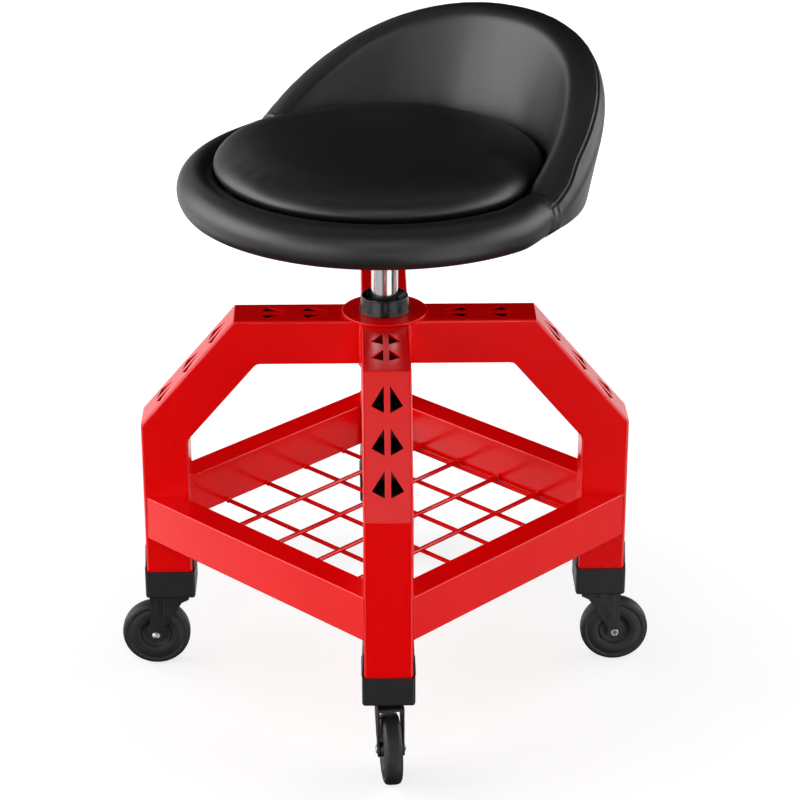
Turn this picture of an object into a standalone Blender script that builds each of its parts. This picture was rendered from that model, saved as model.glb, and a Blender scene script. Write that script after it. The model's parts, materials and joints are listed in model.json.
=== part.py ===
"""Rolling workshop seat.

A welded box-section frame stands on four swivel casters and carries a wire-floored parts tray.
A gas spring in its hub lifts and turns a round upholstered seat with a low wrap-around back.
The floor is z = 0 and the column's axis is x = y = 0. The sitter faces -Y, nearly.
"""

import math

import bmesh
import bpy
from mathutils import Matrix, Vector

GAP = 0.0003  # between pieces that touch or are welded

# Frame tube
TUBE = 0.050
TUBE_WALL = 0.0025
TUBE_CORNER = 0.003
LEG_FACE = 0.2605  # column axis to a leg's outer face
KNEE_Z = 0.2988
SHOULDER = 0.1588
ARM_TOP = 0.4177
OUTER_BEND = 0.002
INNER_BEND = 0.008
LEG_AXIS = LEG_FACE - TUBE / 2

# Triangular cut-outs, in mirrored pairs with a rib between them
CUT_LENGTH = 0.0285
CUT_WIDEST = 0.74  # share of the length where a pair is widest
CUT_HALF_WIDTH = 0.0160
CUT_RIB = 0.0063
ARM_CUTS = (0.061, 0.104)  # from the column axis
SLOPE_CUTS = (0.0155, 0.0595, 0.1035)  # from the shoulder, down the slope

# Hub
SLEEVE_RADIUS = 0.0285
SLEEVE_DROP = 0.009
HUB_PLATE_RADIUS = 0.045
HUB_PLATE_THICK = 0.0025

# Parts tray
TRAY_HALF = 0.200
RAIL_WIDE = 0.030
RAIL_HIGH = 0.050
RAIL_TOP = 0.214
RAIL_WALL = 0.002
RAIL_CORNER = 0.002
WIRE = 0.005
WIRE_PITCH = 0.0605
WIRES_ALONG_X = (-0.1380, 6)  # first wire's y, and how many
WIRES_ALONG_Y = (-0.1070, 5)  # first wire's x, and how many

# Foot sockets
SOCKET_BOTTOM = 0.0912
SOCKET_RIM = 0.1237
SOCKET_WALL = 0.0018
SOCKET_FLOOR = 0.004
EAR_TOP = 0.152
EAR_WIDE = 0.040

# Casters
WHEEL_RADIUS = 0.0375
WHEEL_WIDE = 0.018
HUB_WIDE = 0.0228
TRAIL = 0.0188
FORK_WIDE = 0.0274
FORK_PLATE = 0.002
FORK_TOP = 0.0860
FORK_CROWN = 0.0032
FORK_EDGE = 0.0243  # kingpin to the fork's outer edge
STEM_RADIUS = 0.0055
AXLE_RADIUS = 0.003

# Gas spring
CYLINDER_RADIUS = 0.025
CYLINDER_WALL = 0.0015
CYLINDER_FLOOR = 0.222
CYLINDER_TOP = 0.4205
COLLAR_TOP = 0.4375
GUIDE_BOTTOM = 0.352
CHROME_RADIUS = 0.014
CHROME_BOTTOM = 0.242
CHROME_TOP = 0.5165
ROD_RADIUS = 0.005
ROD_TOP = 0.470
BUTTON_RADIUS = 0.0039

# Seat
SEAT_YAW = math.radians(4)
SEAT_FORWARD = 0.003  # cushion centre ahead of the column
ROLL_RADIUS = 0.1865  # seat centre to the middle of the back's foot
ROLL_Z = 0.563
ROLL_THICK = 0.0236  # radius of the front roll
ROLL_SHIFT = 0.0029  # the front roll's middle, outwards and down from the back's foot
SEAM_THICK = 0.0225
SEAM_ANGLES = {"left": math.radians(80), "right": math.radians(85)}  # from the back's middle
SEAM_EASE = math.radians(14)
RISE_ENDS = {"left": math.radians(81), "right": math.radians(83)}
FRONT_FLOOR = -0.020
BACK_FLOOR = -0.012
BACK_RISE = 0.116
BACK_STEP = 0.003
BACK_LEAN = 0.27
BACK_TOP_THICK = 0.0205
BACK_FLATNESS = 2.15
BACK_FALL = 1.14
BOARD_RADIUS = 0.190
BOARD_BOTTOM = 0.5433
BOARD_THICK = 0.012
BOARD_TOP = BOARD_BOTTOM + BOARD_THICK
SHELL_THICK = 0.006
SHELL_SPAN = math.radians(58)
CUSHION_TOP = 0.612
CUSHION_SPREAD = 0.008  # over the roll, in front

# Seat mechanism
PLATE_HALF = 0.085
PLATE_THICK = 0.0025
PLATE_TOP = 0.5414
SCREW_AT = 0.070
CLOTH_TOP = 0.5427
CLOTH_THICK = 0.001
CHANNEL_HALF_LONG = 0.055
CHANNEL_HALF_WIDE = 0.030
CHANNEL_TOP = PLATE_TOP - PLATE_THICK - GAP
CHANNEL_BOTTOM = 0.5086
CHANNEL_WALL = 0.0025
SOCKET_TUBE_RADIUS = 0.019
SOCKET_TUBE_BOTTOM = 0.472
LEVER_RADIUS = 0.004
LEVER_Z = 0.526
LEVER_PIVOT_X = -0.040
PIVOT_RADIUS = 0.003

CASTER_TURNS = {"front_left": 6}  # how far each stored caster is turned from straight out, in degrees
CORNERS = {"front_left": -45, "back_left": 45, "back_right": 135, "front_right": -135}
SIDES = {"front": 0, "left": 90, "back": 180, "right": -90}

RED_PAINT = ("red_paint", (0.60, 0.004, 0.004), 0.0, 0.25)
BLACK_PLASTIC = ("black_plastic", (0.013, 0.013, 0.014), 0.0, 0.45)
BLACK_STEEL = ("black_steel", (0.010, 0.010, 0.010), 0.3, 0.35)
CHROME = ("chrome", (0.80, 0.80, 0.82), 1.0, 0.06)
ZINC = ("zinc", (0.62, 0.63, 0.64), 1.0, 0.30)
LEATHER = ("black_leather", (0.012, 0.012, 0.012), 0.0, 0.42)
WHEEL = ("wheel_black", (0.010, 0.010, 0.010), 0.0, 0.50)
PLYWOOD = ("plywood", (0.45, 0.30, 0.16), 0.0, 0.65)
CLOTH = ("black_cloth", (0.015, 0.015, 0.016), 0.0, 0.90)


# ---------------------------------------------------------------- helpers


def clear_scene():
    for thing in list(bpy.data.objects):
        bpy.data.objects.remove(thing)


def new_collection(name):
    made = bpy.data.collections.new(name)
    bpy.context.scene.collection.children.link(made)
    return made


def material(finish):
    name, colour, metallic, roughness = finish
    found = bpy.data.materials.get(name)
    if found:
        return found
    made = bpy.data.materials.new(name)
    made.use_nodes = True
    shader = made.node_tree.nodes["Principled BSDF"]
    shader.inputs["Base Color"].default_value = (*colour, 1)
    shader.inputs["Metallic"].default_value = metallic
    shader.inputs["Roughness"].default_value = roughness
    made.diffuse_color = (*colour, 1)
    return made


def add_part(name, mesh, finish, parent=None, location=(0, 0, 0), rotation=(0, 0, 0)):
    part = bpy.data.objects.new(name, mesh)
    parts.objects.link(part)
    part.location = location
    part.rotation_euler = rotation
    part.parent = parent
    if not mesh.materials:
        mesh.materials.append(material(finish))
    return part


def add_cutter(name, mesh, location=(0, 0, 0), rotation=(0, 0, 0)):
    cutter = bpy.data.objects.new(name, mesh)
    cutters.objects.link(cutter)
    cutter.location = location
    cutter.rotation_euler = rotation
    cutter.hide_render = True
    cutter.display_type = "WIRE"
    return cutter


def add_empty(name, location=(0, 0, 0), turn=0.0, parent=None):
    empty = bpy.data.objects.new(name, None)
    parts.objects.link(empty)
    empty.empty_display_size = 0.02
    empty.location = location
    empty.rotation_euler = (0, 0, turn)
    empty.parent = parent
    return empty


def boolean(target, operation, cutter):
    modifier = target.modifiers.new(operation.lower(), "BOOLEAN")
    modifier.operation = operation
    modifier.solver = "EXACT"
    modifier.object = cutter


def bevel(target, width, segments=2, angle=40):
    modifier = target.modifiers.new("bevel", "BEVEL")
    modifier.width = width
    modifier.segments = segments
    modifier.limit_method = "ANGLE"
    modifier.angle_limit = math.radians(angle)


def smooth(mesh, angle=35):
    mesh.shade_smooth()
    mesh.set_sharp_from_angle(angle=math.radians(angle))
    return mesh


def finished_mesh(name, source):
    """The evaluated shape of a part under construction, as a mesh that copies can share."""
    bpy.context.view_layer.update()
    depsgraph = bpy.context.evaluated_depsgraph_get()
    mesh = bpy.data.meshes.new_from_object(source.evaluated_get(depsgraph))
    mesh.name = name
    bpy.data.objects.remove(source)
    return smooth(mesh)


def mesh_of(name, shape):
    mesh = bpy.data.meshes.new(name)
    shape.to_mesh(mesh)
    shape.free()
    return mesh


def box_mesh(name, low, high):
    low, high = Vector(low), Vector(high)
    size = high - low
    place = Matrix.Translation((low + high) / 2) @ Matrix.Diagonal((*size, 1))
    shape = bmesh.new()
    bmesh.ops.create_cube(shape, size=1, matrix=place)
    return mesh_of(name, shape)


def cylinder_mesh(name, radius, length, segments=32, place=None):
    shape = bmesh.new()
    bmesh.ops.create_cone(
        shape,
        cap_ends=True,
        segments=segments,
        radius1=radius,
        radius2=radius,
        depth=length,
        matrix=place or Matrix.Identity(4),
    )
    return mesh_of(name, shape)


def outline_mesh(name, outlines, thickness):
    """Flat outlines in XY, nested ones being holes, as a closed mesh half the thickness each side."""
    curve = bpy.data.curves.new(name, "CURVE")
    curve.dimensions = "2D"
    curve.fill_mode = "BOTH"
    curve.extrude = thickness / 2
    for outline in outlines:
        spline = curve.splines.new("POLY")
        spline.points.add(len(outline) - 1)
        for point, (x, y) in zip(spline.points, outline):
            point.co = (x, y, 0, 1)
        spline.use_cyclic_u = True
    guide = bpy.data.objects.new(name, curve)
    parts.objects.link(guide)
    mesh = finished_mesh(name, guide)
    shape = bmesh.new()
    shape.from_mesh(mesh)
    bmesh.ops.remove_doubles(shape, verts=shape.verts, dist=0.000001)
    bmesh.ops.recalc_face_normals(shape, faces=shape.faces)
    shape.to_mesh(mesh)
    shape.free()
    return mesh


def skin_mesh(name, rings, closed_ends):
    """A skin over a row of rings that have the same number of points."""
    shape = bmesh.new()
    loops = [[shape.verts.new(point) for point in ring] for ring in rings]
    for first, second in zip(loops, loops[1:]):
        for here in range(len(first)):
            after = (here + 1) % len(first)
            shape.faces.new((first[here], first[after], second[after], second[here]))
    if closed_ends:
        shape.faces.new(loops[0])
        shape.faces.new(loops[-1])
    bmesh.ops.recalc_face_normals(shape, faces=shape.faces)
    return mesh_of(name, shape)


def profile_mesh(name, profile, closed):
    """A profile in XZ, as the edges that a Screw modifier turns about Z."""
    shape = bmesh.new()
    points = [shape.verts.new((radius, 0, z)) for radius, z in profile]
    for first, second in zip(points, points[1:]):
        shape.edges.new((first, second))
    if closed:
        shape.edges.new((points[-1], points[0]))
    return mesh_of(name, shape)


def screw(target, steps):
    modifier = target.modifiers.new("turn", "SCREW")
    modifier.steps = steps
    modifier.render_steps = steps
    modifier.use_merge_vertices = True
    modifier.merge_threshold = 0.00001
    modifier.use_smooth_shade = True


def add_turned(name, profile, finish, closed=True, steps=32, parent=None, location=(0, 0, 0)):
    """A turned part. A closed profile is a ring; an open one starts and ends on the axis."""
    part = add_part(name, profile_mesh(name, profile, closed), finish, parent, location)
    screw(part, steps)
    return part


def turned_mesh(name, profile, closed=True, steps=32):
    guide = bpy.data.objects.new(name, profile_mesh(name, profile, closed))
    parts.objects.link(guide)
    screw(guide, steps)
    return finished_mesh(name, guide)


def ring_profile(inner, outer, bottom, top):
    return [(outer, top), (outer, bottom), (inner, bottom), (inner, top)]


def circle(radius, count=32, centre=(0.0, 0.0)):
    turn = 2 * math.pi / count
    return [
        (centre[0] + radius * math.cos(turn * n), centre[1] + radius * math.sin(turn * n))
        for n in range(count)
    ]


def rounded_rectangle(half_x, half_y, corner, steps=3):
    points = []
    for quarter in range(4):
        side_x = 1 if quarter in (0, 3) else -1
        side_y = 1 if quarter in (0, 1) else -1
        for step in range(steps + 1):
            angle = math.pi / 2 * (quarter + step / steps)
            x = side_x * (half_x - corner) + corner * math.cos(angle)
            y = side_y * (half_y - corner) + corner * math.sin(angle)
            points.append((x, y))
    return points


def offset_path(path, depth):
    """The open path moved sideways by depth, to the right of its direction, with mitred bends."""
    path = [Vector(point) for point in path]
    runs = [(b - a).normalized() for a, b in zip(path, path[1:])]
    rights = [Vector((run.y, -run.x)) for run in runs]
    moved = [path[0] + rights[0] * depth]
    for point, before, after in zip(path[1:], rights, rights[1:]):
        moved.append(point + (before + after) * depth / (1 + before.dot(after)))
    moved.append(path[-1] + rights[-1] * depth)
    return moved


def fillet_path(path, radius, steps):
    """The open path with each bend replaced by an arc of the same number of points."""
    rounded = [path[0]]
    for before, bend, after in zip(path, path[1:], path[2:]):
        back = (before - bend).normalized()
        ahead = (after - bend).normalized()
        half = back.angle(ahead) / 2
        reach = radius / math.tan(half)
        centre = bend + (back + ahead).normalized() * radius / math.sin(half)
        first = bend + back * reach - centre
        last = bend + ahead * reach - centre
        sweep = first.angle(last)
        for step in range(steps + 1):
            share = step / steps
            spoke = first * math.sin((1 - share) * sweep) + last * math.sin(share * sweep)
            rounded.append(centre + spoke / math.sin(sweep))
    rounded.append(path[-1])
    return rounded


# ---------------------------------------------------------------- frame


def leg_path():
    """Outer face of a leg in the plane of the column: (distance from the axis, height)."""
    foot = SOCKET_BOTTOM + SOCKET_FLOOR + GAP
    return [
        (TUBE / 2 + GAP, ARM_TOP),
        (SHOULDER, ARM_TOP),
        (LEG_FACE, KNEE_Z),
        (LEG_FACE, foot),
    ]


def leg_tube():
    """The bent tube's outer skin, thickened inwards and open at both ends."""
    columns = []
    for across, depth in rounded_rectangle(TUBE / 2, TUBE / 2, TUBE_CORNER, 2):
        inward = TUBE / 2 - depth
        radius = OUTER_BEND + (INNER_BEND - OUTER_BEND) * inward / TUBE
        route = fillet_path(offset_path(leg_path(), inward), radius, 2)
        columns.append([(point.x, across, point.y) for point in route])
    rings = list(zip(*columns))
    tube = bpy.data.objects.new("leg_tube", skin_mesh("leg_tube", rings, False))
    parts.objects.link(tube)
    wall = tube.modifiers.new("wall", "SOLIDIFY")
    wall.thickness = TUBE_WALL
    wall.offset = -1
    wall.use_even_offset = True
    return tube


def cut_pair(start):
    """Two mirrored triangles that point towards the hub, in a strip's own XY plane."""
    end = start + CUT_LENGTH
    widest = start + CUT_LENGTH * CUT_WIDEST
    rib = CUT_RIB / 2
    above = [(start, rib), (end, rib), (widest, CUT_HALF_WIDTH)]
    return [above, [(x, -y) for x, y in reversed(above)]]


def leg_mesh():
    leg = leg_tube()
    arm_outlines = [outline for start in ARM_CUTS for outline in cut_pair(start)]
    slope_outlines = [outline for start in SLOPE_CUTS for outline in cut_pair(start)]
    slope = math.atan2(ARM_TOP - KNEE_Z, LEG_FACE - SHOULDER)
    deep = 4 * TUBE_WALL
    arm = add_cutter(
        "arm_cuts", outline_mesh("arm_cuts", arm_outlines, deep), (0, 0, ARM_TOP)
    )
    side = add_cutter(
        "slope_cuts",
        outline_mesh("slope_cuts", slope_outlines, deep),
        (SHOULDER, 0, ARM_TOP),
        (0, slope, 0),
    )
    cope = add_cutter(
        "sleeve_cope",
        cylinder_mesh("sleeve_cope", SLEEVE_RADIUS + GAP, 0.2),
        (0, 0, ARM_TOP),
    )
    for cutter in (arm, side, cope):
        boolean(leg, "DIFFERENCE", cutter)
    return finished_mesh("leg", leg)


def socket_mesh():
    """Square plastic foot cap with a tapered ear up two opposite faces; z is the real height."""
    inner = TUBE / 2 + GAP
    outer = inner + SOCKET_WALL
    trim = 0.006
    block = bpy.data.objects.new(
        "socket_block",
        box_mesh("socket", (-outer, -outer, SOCKET_BOTTOM), (outer, outer, SOCKET_RIM + trim)),
    )
    parts.objects.link(block)
    bevel(block, 0.003, 2)
    top = add_cutter(
        "socket_trim",
        box_mesh("socket_trim", (-0.1, -0.1, SOCKET_RIM), (0.1, 0.1, SOCKET_RIM + 0.1)),
    )
    boolean(block, "DIFFERENCE", top)
    thin = inner + 0.0006
    ear = [
        (inner - 0.001, SOCKET_RIM - 0.008),
        (outer - 0.0001, SOCKET_RIM - 0.008),
        (outer - 0.0001, SOCKET_RIM),
        (thin, EAR_TOP),
        (inner - 0.001, EAR_TOP),
    ]
    for side, turn in (("near", 0), ("far", math.pi)):
        name = f"ear_{side}"
        mesh = outline_mesh(name, [ear], EAR_WIDE)
        boolean(block, "UNION", add_cutter(name, mesh, rotation=(math.pi / 2, 0, turn)))
    floor = SOCKET_BOTTOM + SOCKET_FLOOR
    well = add_cutter(
        "socket_well", box_mesh("socket_well", (-inner, -inner, floor), (inner, inner, 0.2))
    )
    hole = add_cutter(
        "stem_hole",
        cylinder_mesh("stem_hole", STEM_RADIUS + GAP, 0.02, 16),
        (0, 0, SOCKET_BOTTOM),
    )
    boolean(block, "DIFFERENCE", well)
    boolean(block, "DIFFERENCE", hole)
    return finished_mesh("socket", block)


def build_legs():
    leg = leg_mesh()
    socket = socket_mesh()
    for corner, degrees in CORNERS.items():
        turn = math.radians(degrees)
        add_part(f"leg_{corner}", leg, RED_PAINT, rotation=(0, 0, turn))
        foot = (LEG_AXIS * math.cos(turn), LEG_AXIS * math.sin(turn), 0)
        ear_turn = math.radians(45)
        add_part(f"foot_socket_{corner}", socket, BLACK_PLASTIC, None, foot, (0, 0, ear_turn))


def build_hub():
    bore = CYLINDER_RADIUS + GAP
    bottom = ARM_TOP - TUBE - SLEEVE_DROP
    sleeve = ring_profile(bore, SLEEVE_RADIUS, bottom, ARM_TOP)
    add_turned("hub_sleeve", sleeve, RED_PAINT)
    low = ARM_TOP + GAP
    high = low + HUB_PLATE_THICK
    edge = 0.0004
    plate = [
        (HUB_PLATE_RADIUS - edge, high),
        (HUB_PLATE_RADIUS, high - edge),
        (HUB_PLATE_RADIUS, low),
        (bore, low),
        (bore, high),
    ]
    add_turned("hub_plate", plate, RED_PAINT, steps=40)


def rail_skin(name, inset, stretch):
    """A rail-shaped block on the -Y side, with ends cut at 45 degrees to lie on the legs' sides."""
    rings = [[], []]
    reach = math.sqrt(2) * (TUBE / 2 + GAP) - stretch
    half_wide, half_high = RAIL_WIDE / 2 - inset, RAIL_HIGH / 2 - inset
    for across, up in rounded_rectangle(half_wide, half_high, RAIL_CORNER - inset / 2, 2):
        out = TRAY_HALF - RAIL_WIDE / 2 + across
        z = RAIL_TOP - RAIL_HIGH / 2 + up
        rings[0].append((reach - out, -out, z))
        rings[1].append((out - reach, -out, z))
    return skin_mesh(name, rings, True)


def rail_mesh():
    rail = bpy.data.objects.new("rail_block", rail_skin("rail", 0, 0))
    parts.objects.link(rail)
    hollow = add_cutter("rail_hollow", rail_skin("rail_hollow", RAIL_WALL, 0.01))
    boolean(rail, "DIFFERENCE", hollow)
    return finished_mesh("rail", rail)


def wire_row(name, first, count, along_x, z):
    """Parallel wires, each cut short where a leg's inner face is in its way."""
    shape = bmesh.new()
    reach = TRAY_HALF - RAIL_WIDE - GAP
    leg_line = math.sqrt(2) * (LEG_FACE - TUBE)
    for number in range(count):
        offset = first + number * WIRE_PITCH
        half = min(reach, leg_line - abs(offset) - WIRE)
        if along_x:
            place = Matrix.Translation((0, offset, z)) @ Matrix.Rotation(math.pi / 2, 4, "Y")
        else:
            place = Matrix.Translation((offset, 0, z)) @ Matrix.Rotation(math.pi / 2, 4, "X")
        bmesh.ops.create_cone(
            shape,
            cap_ends=True,
            segments=10,
            radius1=WIRE / 2,
            radius2=WIRE / 2,
            depth=2 * half,
            matrix=place,
        )
    return mesh_of(name, shape)


def build_tray():
    rail = rail_mesh()
    for side, degrees in SIDES.items():
        add_part(f"tray_rail_{side}", rail, RED_PAINT, rotation=(0, 0, math.radians(degrees)))
    low = RAIL_TOP - RAIL_HIGH + 0.0025
    high = low + WIRE * 0.9
    lower = wire_row("tray_grid", *WIRES_ALONG_X, True, low)
    grid = add_part("tray_grid", lower, RED_PAINT)
    upper = wire_row("upper_wires", *WIRES_ALONG_Y, False, high)
    boolean(grid, "UNION", add_cutter("upper_wires", upper))


# ---------------------------------------------------------------- casters


def wheel_mesh():
    """The wheel turned about Z: tread, recessed faces and a hub boss that meets the fork."""
    half = WHEEL_WIDE / 2
    hub = HUB_WIDE / 2
    face = [
        (AXLE_RADIUS + GAP, hub),
        (0.0078, hub),
        (0.0086, half - 0.0040),
        (0.0160, half - 0.0034),
        (0.0180, half),
        (0.0345, half),
        (WHEEL_RADIUS, half - 0.0040),
    ]
    mirrored = [(radius, -z) for radius, z in reversed(face)]
    return turned_mesh("wheel", face + mirrored, steps=24)


def fork_outline():
    """Side view of the fork: (outwards from the kingpin, height)."""
    axle = Vector((TRAIL, WHEEL_RADIUS))
    end = 0.0085
    points = [(FORK_EDGE, FORK_TOP), (FORK_EDGE, WHEEL_RADIUS + 0.010)]
    for degrees in range(0, -221, -31):
        angle = math.radians(degrees)
        spoke = Vector((math.cos(angle), math.sin(angle))) * end
        points.append(tuple(axle + spoke))
    points += [(0.0010, 0.058), (-0.0060, 0.071), (-0.0110, 0.0785), (-0.0190, 0.0825)]
    points.append((-0.0190, FORK_TOP))
    return points


def fork_mesh():
    """Pressed fork: a block of its side outline with the wheel's room cut out of it."""
    block = bpy.data.objects.new("fork_block", outline_mesh("fork", [fork_outline()], FORK_WIDE))
    parts.objects.link(block)
    block.rotation_euler = (math.pi / 2, 0, 0)
    inside = FORK_WIDE / 2 - FORK_PLATE
    room = add_cutter(
        "wheel_room",
        box_mesh("wheel_room", (-0.1, -inside, 0), (0.1, inside, FORK_TOP - FORK_CROWN)),
    )
    high = FORK_TOP - 0.002
    rib = [(0.0085, high), (0.0175, high), (0.0175, 0.052), (0.0130, 0.050), (0.0100, 0.054)]
    mesh = outline_mesh("fork_ribs", [rib], FORK_WIDE + 0.0012)
    ribs = add_cutter("fork_ribs", mesh, rotation=(math.pi / 2, 0, 0))
    stem = add_cutter(
        "stem_room", cylinder_mesh("stem_room", STEM_RADIUS + GAP, 0.02, 16), (0, 0, FORK_TOP)
    )
    pin = add_cutter(
        "axle_room",
        cylinder_mesh("axle_room", AXLE_RADIUS + GAP, 0.06, 12),
        (TRAIL, 0, WHEEL_RADIUS),
        (math.pi / 2, 0, 0),
    )
    boolean(block, "UNION", ribs)
    for cutter in (room, stem, pin):
        boolean(block, "DIFFERENCE", cutter)
    mesh = finished_mesh("fork", block)
    mesh.transform(Matrix.Rotation(math.pi / 2, 4, "X"))
    return mesh


def axle_mesh():
    """Rivet turned about Z: domed head above, rolled hollow end below."""
    top = FORK_WIDE / 2 + GAP
    bottom = -top
    profile = [
        (0, top + 0.0022),
        (0.0036, top + 0.0015),
        (0.0048, top),
        (AXLE_RADIUS, top),
        (AXLE_RADIUS, bottom),
        (0.0042, bottom),
        (0.0036, bottom - 0.0015),
        (0.0018, bottom - 0.0006),
        (0.0018, bottom + 0.0040),
        (0, bottom + 0.0040),
    ]
    return turned_mesh("axle", profile, closed=False, steps=12)


def stem_mesh():
    """Kingpin: a riveted head under the fork's top, and a stem up into the foot socket."""
    head = FORK_TOP - FORK_CROWN - GAP
    top = SOCKET_BOTTOM + SOCKET_FLOOR + 0.018
    profile = [
        (0, top),
        (STEM_RADIUS - 0.001, top),
        (STEM_RADIUS, top - 0.002),
        (STEM_RADIUS, head),
        (0.0085, head),
        (0.0070, head - 0.0030),
        (0, head - 0.0030),
    ]
    return turned_mesh("stem", profile, closed=False, steps=16)


def bearing_mesh():
    low = FORK_TOP + GAP
    high = SOCKET_BOTTOM - GAP
    bore = STEM_RADIUS + GAP
    profile = [
        (0.0128, high),
        (0.0136, (low + high) / 2),
        (0.0128, low),
        (bore, low),
        (bore, high),
    ]
    return turned_mesh("swivel_bearing", profile, steps=20)


def build_casters():
    wheel, fork, axle = wheel_mesh(), fork_mesh(), axle_mesh()
    stem, bearing = stem_mesh(), bearing_mesh()
    for corner, degrees in CORNERS.items():
        turn = math.radians(degrees)
        kingpin = (LEG_AXIS * math.cos(turn), LEG_AXIS * math.sin(turn), 0)
        turned = turn + math.radians(CASTER_TURNS.get(corner, 0))
        swivel = add_empty(f"caster_swivel_{corner}", kingpin, turned)
        hub = (TRAIL, 0, WHEEL_RADIUS)
        across = (-math.pi / 2, 0, 0)
        add_part(f"caster_stem_{corner}", stem, ZINC, None, kingpin)
        add_part(f"caster_bearing_{corner}", bearing, BLACK_STEEL, None, kingpin)
        add_part(f"caster_fork_{corner}", fork, BLACK_STEEL, swivel)
        add_part(f"caster_axle_{corner}", axle, ZINC, swivel, hub, across)
        add_part(f"caster_wheel_{corner}", wheel, WHEEL, swivel, hub, across)


# ---------------------------------------------------------------- gas spring


def build_gas_spring():
    bore = CYLINDER_RADIUS - CYLINDER_WALL
    floor_top = CYLINDER_FLOOR + 0.003
    hole = ROD_RADIUS + 2 * GAP
    cylinder = [
        (CYLINDER_RADIUS, CYLINDER_TOP),
        (CYLINDER_RADIUS, CYLINDER_FLOOR + 0.001),
        (CYLINDER_RADIUS - 0.001, CYLINDER_FLOOR),
        (hole, CYLINDER_FLOOR),
        (hole, floor_top),
        (bore, floor_top),
        (bore, CYLINDER_TOP),
    ]
    add_turned("gas_cylinder", cylinder, BLACK_STEEL)

    guide = CHROME_RADIUS + GAP
    seat = CYLINDER_TOP + GAP
    collar = [
        (0.0160, COLLAR_TOP - 0.0030),
        (0.0205, COLLAR_TOP - 0.0008),
        (0.0236, COLLAR_TOP),
        (0.0246, COLLAR_TOP - 0.0006),
        (0.0249, COLLAR_TOP - 0.0030),
        (0.0266, seat + 0.0020),
        (0.0272, seat),
        (bore - GAP, seat),
        (bore - GAP, GUIDE_BOTTOM),
        (guide, GUIDE_BOTTOM),
        (guide, COLLAR_TOP - 0.0034),
    ]
    add_turned("guide_collar", collar, BLACK_PLASTIC)

    z = floor_top + GAP
    for name, inner, outer, thick, finish in (
        ("thrust_washer_lower", hole, 0.0160, 0.002, ZINC),
        ("thrust_bearing", 0.0065, 0.0155, 0.004, ZINC),
        ("thrust_washer_upper", ROD_RADIUS + GAP, 0.0160, 0.002, ZINC),
    ):
        add_turned(name, ring_profile(inner, outer, z, z + thick), finish, steps=20)
        z += thick + GAP

    clip_top = CYLINDER_FLOOR - GAP
    piston = 0.0115
    rod = [
        (0, ROD_TOP),
        (piston - 0.001, ROD_TOP),
        (piston, ROD_TOP - 0.001),
        (piston, ROD_TOP - 0.015),
        (ROD_RADIUS, ROD_TOP - 0.015),
        (ROD_RADIUS, z + 0.003),
        (0.0090, z + 0.003),
        (0.0090, z),
        (ROD_RADIUS, z),
        (ROD_RADIUS, clip_top - 0.005),
        (0, clip_top - 0.005),
    ]
    add_turned("piston_rod", rod, ZINC, closed=False, steps=20)
    clip = ring_profile(ROD_RADIUS + GAP, 0.0100, clip_top - 0.003, clip_top)
    add_turned("retaining_clip", clip, ZINC, steps=16)


def build_pressure_tube(seat):
    """Chrome tube, open below round the piston rod, with the release button's hole in its top."""
    gland = CHROME_BOTTOM + 0.020
    chamber = 0.0120
    chamber_top = CHROME_TOP - 0.012
    button_bore = BUTTON_RADIUS + GAP
    taper_top = CHROME_RADIUS - 0.0006
    tube = [
        (taper_top - 0.001, CHROME_TOP),
        (taper_top, CHROME_TOP - 0.001),
        (CHROME_RADIUS, SOCKET_TUBE_BOTTOM + 0.002),
        (CHROME_RADIUS, CHROME_BOTTOM),
        (ROD_RADIUS + GAP, CHROME_BOTTOM),
        (ROD_RADIUS + GAP, gland),
        (chamber, gland),
        (chamber, chamber_top),
        (button_bore, chamber_top),
        (button_bore, CHROME_TOP),
    ]
    add_turned("pressure_tube", tube, CHROME, parent=seat)

    button = [
        (0, 0.0050),
        (BUTTON_RADIUS - 0.0006, 0.0050),
        (BUTTON_RADIUS, 0.0044),
        (BUTTON_RADIUS, -0.0140),
        (0, -0.0140),
    ]
    add_turned("release_button", button, ZINC, False, 20, seat, (0, 0, CHROME_TOP))


# ---------------------------------------------------------------- seat


def smoothstep(share):
    share = min(1.0, max(0.0, share))
    return share * share * (3 - 2 * share)


def seat_side(angle):
    """Side of an angle from the back's middle, seen from the front."""
    return "left" if angle > 0 else "right"


def back_rise(angle):
    """Height of the back's top above its foot, at an angle from the back's middle."""
    share = min(1.0, abs(angle) / RISE_ENDS[seat_side(angle)])
    return BACK_RISE * (1 - share**BACK_FLATNESS) ** BACK_FALL


def ring_section(foot, radius, floor, rise, top_radius, flank_steps):
    """Cross-section of the roll or the back: (distance from the seat's centre, height over ROLL_Z)."""
    spine = Vector((BACK_LEAN * smoothstep(rise / 0.02), 1)).normalized()
    out = Vector((spine.y, -spine.x))
    head = foot + Vector((BACK_LEAN * rise, rise))
    lower = 8
    upper = 8
    points = []
    for step in range(lower + 1):
        angle = math.pi * step / lower
        point = foot - (out * math.cos(angle) + spine * math.sin(angle)) * radius
        points.append(Vector((point.x, max(point.y, floor))))
    for step in range(1, flank_steps + 1):
        share = step / (flank_steps + 1)
        points.append((foot + out * radius).lerp(head + out * top_radius, share))
    for step in range(1, upper):
        angle = math.pi * step / upper
        points.append(head + (out * math.cos(angle) + spine * math.sin(angle)) * top_radius)
    for step in range(1, flank_steps + 1):
        share = step / (flank_steps + 1)
        points.append((head - out * top_radius).lerp(foot - out * radius, share))
    return points


def front_section(angle):
    ease = smoothstep((abs(angle) - SEAM_ANGLES[seat_side(angle)]) / SEAM_EASE)
    radius = SEAM_THICK + (ROLL_THICK - SEAM_THICK) * ease
    foot = Vector((ROLL_RADIUS + ROLL_SHIFT * ease - 0.001 * (1 - ease), -ROLL_SHIFT * ease))
    floor = FRONT_FLOOR + (BACK_FLOOR - FRONT_FLOOR) * (1 - ease)
    return ring_section(foot, radius, floor, back_rise(angle), radius, 0)


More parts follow.
